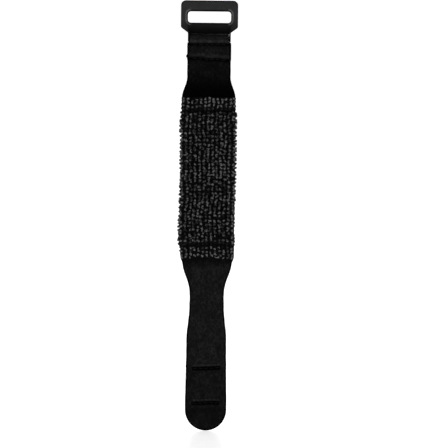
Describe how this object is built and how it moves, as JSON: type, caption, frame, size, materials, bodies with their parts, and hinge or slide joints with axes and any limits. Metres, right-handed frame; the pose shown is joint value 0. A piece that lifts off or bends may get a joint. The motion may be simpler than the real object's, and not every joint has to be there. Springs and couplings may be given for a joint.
{
  "type": "guitar string damper wrap",
  "caption": "Padded hook-and-loop strap with a terry face and a moulded ring, wrapped round a guitar neck to damp its strings.",
  "frame": {"origin": "centre of the pad's string-side face", "axes": "+Z along the strap towards the ring, -Y out of the pile face, +X across the strap"},
  "size_m": [0.0264, 0.0088, 0.1999],
  "materials": {
    "moulded_ring": "satin moulded black",
    "loop_fabric": "brushed loop face, black",
    "terry": "looped pile, black",
    "foam": "soft open foam",
    "hook_tape": "moulded hooks on woven tape",
    "thread": "bonded polyester thread"
  },
  "bodies": {
    "pad_centre": {"strap_pad_centre": "loop_fabric", "terry_centre": "terry", "foam_centre": "foam"},
    "pad_top": {"strap_pad_top": "loop_fabric", "terry_top": "terry", "foam_top": "foam"},
    "pad_hem_top": {"strap_hem_top": "loop_fabric", "hem_top": "terry", "thread_pad_top": "thread"},
    "neck_top": {"strap_neck_top": "loop_fabric"},
    "head": {"strap_head": "loop_fabric", "bar_fold": "loop_fabric", "folded_flap": "loop_fabric", "thread_fold_row": "thread", "thread_flap_row": "thread"},
    "buckle": {"ring": "moulded_ring"},
    "pad_bottom": {"strap_pad_bottom": "loop_fabric", "terry_bottom": "terry", "foam_bottom": "foam"},
    "pad_hem_bottom": {"strap_hem_bottom": "loop_fabric", "hem_bottom": "terry", "thread_pad_bottom": "thread"},
    "tail_link_1": {"tail_1": "loop_fabric"},
    "tail_link_2": {"tail_2": "loop_fabric"},
    "tail_link_3": {"tail_3": "loop_fabric"},
    "tail_link_4": {"tail_4": "loop_fabric"},
    "fold_link_1": {"tail_fold_1": "loop_fabric"},
    "fold_link_2": {"tail_fold_2": "loop_fabric"},
    "tip_patch_upper": {"tip_root": "loop_fabric", "hook_patch_upper": "hook_tape", "thread_patch_top": "thread"},
    "tip_patch_lower": {"tip_middle": "loop_fabric", "hook_patch_lower": "hook_tape", "thread_patch_bottom": "thread"},
    "tip_round": {"tip_end_link": "loop_fabric"}
  },
  "joints": [
    {"name": "pad_top_bend", "type": "hinge", "parent": "pad_centre", "child": "pad_top", "pos_m": [0, 0.0058, 0.022], "axis": [1, 0, 0], "range_deg": [-20, 47]},
    {"name": "hem_top_bend", "type": "hinge", "parent": "pad_top", "child": "pad_hem_top", "pos_m": [0, 0.0058, 0.0315], "axis": [1, 0, 0], "range_deg": [-20, 47]},
    {"name": "head_bend", "type": "hinge", "parent": "pad_hem_top", "child": "neck_top", "pos_m": [0, 0.0058, 0.0405], "axis": [1, 0, 0], "range_deg": [-25, 21.5]},
    {"name": "head_bend_upper", "type": "hinge", "parent": "neck_top", "child": "head", "pos_m": [0, 0.0058, 0.049], "axis": [1, 0, 0], "range_deg": [-25, 21.5]},
    {"name": "ring_turn", "type": "hinge", "parent": "head", "child": "buckle", "pos_m": [0, 0.0066, 0.0646], "axis": [1, 0, 0], "range_deg": [-105, 35]},
    {"name": "pad_bottom_bend", "type": "hinge", "parent": "pad_centre", "child": "pad_bottom", "pos_m": [0, 0.0058, -0.022], "axis": [-1, 0, 0], "range_deg": [-20, 47]},
    {"name": "hem_bottom_bend", "type": "hinge", "parent": "pad_bottom", "child": "pad_hem_bottom", "pos_m": [0, 0.0058, -0.0315], "axis": [-1, 0, 0], "range_deg": [-20, 47]},
    {"name": "tail_bend", "type": "hinge", "parent": "pad_hem_bottom", "child": "tail_link_1", "pos_m": [0, 0.0058, -0.042], "axis": [-1, 0, 0], "range_deg": [-25, 23.5]},
    {"name": "tail_bend_2", "type": "hinge", "parent": "tail_link_1", "child": "tail_link_2", "pos_m": [0, 0.0058, -0.052], "axis": [-1, 0, 0], "range_deg": [-25, 23.5]},
    {"name": "tail_bend_3", "type": "hinge", "parent": "tail_link_2", "child": "tail_link_3", "pos_m": [0, 0.0058, -0.062], "axis": [-1, 0, 0], "range_deg": [-25, 23.5]},
    {"name": "tail_bend_4", "type": "hinge", "parent": "tail_link_3", "child": "tail_link_4", "pos_m": [0, 0.0058, -0.0715], "axis": [-1, 0, 0], "range_deg": [-25, 23.5]},
    {"name": "tail_fold", "type": "hinge", "parent": "tail_link_4", "child": "fold_link_1", "pos_m": [0, 0.0058, -0.079], "axis": [1, 0, 0], "range_deg": [-20, 60]},
    {"name": "tail_fold_middle", "type": "hinge", "parent": "fold_link_1", "child": "fold_link_2", "pos_m": [0, 0.0058, -0.0825], "axis": [1, 0, 0], "range_deg": [-20, 60]},
    {"name": "tail_fold_end", "type": "hinge", "parent": "fold_link_2", "child": "tip_patch_upper", "pos_m": [0, 0.0058, -0.086], "axis": [1, 0, 0], "range_deg": [-20, 60]},
    {"name": "tip_bend", "type": "hinge", "parent": "tip_patch_upper", "child": "tip_patch_lower", "pos_m": [0, 0.0058, -0.0965], "axis": [1, 0, 0], "range_deg": [-25, 24]},
    {"name": "tip_bend_end", "type": "hinge", "parent": "tip_patch_lower", "child": "tip_round", "pos_m": [0, 0.0058, -0.107], "axis": [1, 0, 0], "range_deg": [-25, 24]}
  ],
  "couplings": [
    {"joint": "hem_top_bend", "follows": "pad_top_bend", "ratio": 1},
    {"joint": "head_bend_upper", "follows": "head_bend", "ratio": 1},
    {"joint": "hem_bottom_bend", "follows": "pad_bottom_bend", "ratio": 1},
    {"joint": "tail_bend_2", "follows": "tail_bend", "ratio": 1},
    {"joint": "tail_bend_3", "follows": "tail_bend", "ratio": 1},
    {"joint": "tail_bend_4", "follows": "tail_bend", "ratio": 1},
    {"joint": "tail_fold_middle", "follows": "tail_fold", "ratio": 1},
    {"joint": "tail_fold_end", "follows": "tail_fold", "ratio": 1},
    {"joint": "tip_bend_end", "follows": "tip_bend", "ratio": 1}
  ]
}
